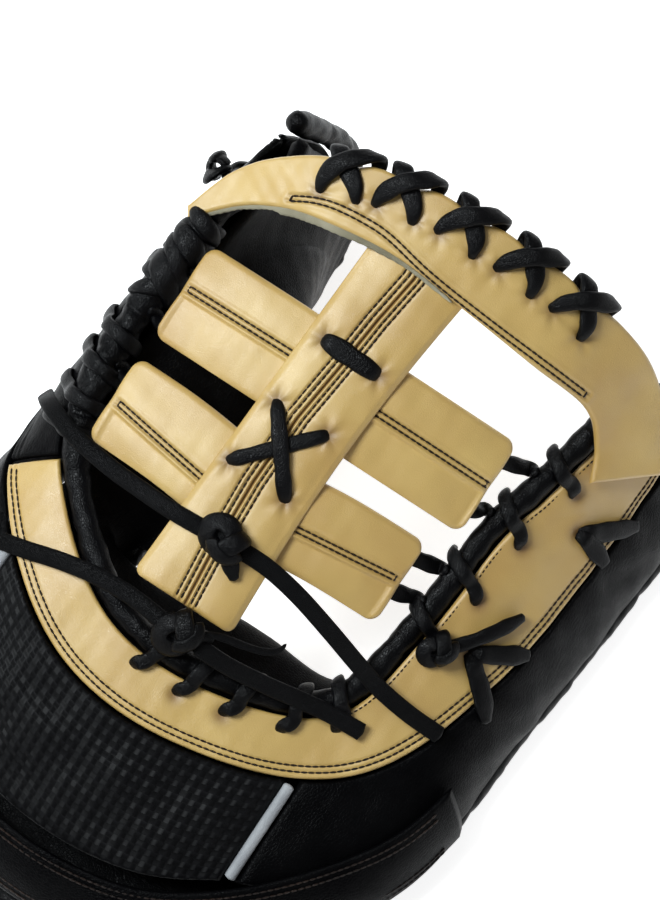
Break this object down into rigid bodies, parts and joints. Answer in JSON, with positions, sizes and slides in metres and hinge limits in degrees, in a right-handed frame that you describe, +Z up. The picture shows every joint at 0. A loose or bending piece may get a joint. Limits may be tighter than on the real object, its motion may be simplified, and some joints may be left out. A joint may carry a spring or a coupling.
{
  "type": "first baseman mitt",
  "caption": "First base mitt with a padded pocket, a double-bar single-post web, rolled edges, black lacing and long free lace ends.",
  "frame": {"origin": "middle of the mitt's length and width, without the free laces, on the surface that it rests on", "axes": "+Y from the heel to the finger and thumb tips, +X to the thumb side, +Z up, out of the web's back; the pocket faces down"},
  "size_m": [0.227, 0.304, 0.1403],
  "materials": {
    "blonde_leather": "satin",
    "black_leather": "satin",
    "woven_mesh": "matt",
    "grey_piping": "matt",
    "black_lace": "satin",
    "suede_lace": "matt"
  },
  "bodies": {
    "root": {"palm_shell": "black_leather", "back_collar": "blonde_leather", "thumb_back": "black_leather", "hand_back": "woven_mesh", "finger_back": "black_leather", "thumb_piping": "grey_piping", "finger_piping": "grey_piping", "wrist_strap": "blonde_leather", "web_edge_roll": "black_leather", "outer_edge_roll": "black_leather", "web_post": "blonde_leather", "web_bar_upper": "blonde_leather", "web_bar_lower": "blonde_leather", "web_rim": "blonde_leather", "thumb_wrap_1": "black_lace", "thumb_wrap_2": "black_lace", "thumb_wrap_3": "black_lace", "finger_wrap_1": "black_lace", "finger_wrap_2": "black_lace", "finger_wrap_3": "black_lace", "crotch_wrap_1": "black_lace", "crotch_wrap_2": "black_lace", "bar_tie_1": "black_lace", "bar_tie_2": "black_lace", "bar_tie_3": "black_lace", "bar_tie_4": "black_lace", "bar_tie_5": "black_lace", "bar_tie_6": "black_lace", "bar_tie_7": "black_lace", "post_lace_bar": "black_lace", "post_lace_cross": "black_lace", "rim_lace_1": "black_lace", "rim_lace_2": "black_lace", "rim_lace_3": "black_lace", "rim_lace_4": "black_lace", "rim_lace_5": "black_lace", "thumb_lace_1": "black_lace", "thumb_lace_2": "black_lace", "upper_knot": "suede_lace", "lower_knot": "suede_lace", "thumb_knot": "black_lace", "finger_knot": "black_lace", "upper_lace": "suede_lace", "upper_tail": "suede_lace", "lower_lace": "suede_lace", "lower_tail": "suede_lace"}
  },
  "joints": []
}
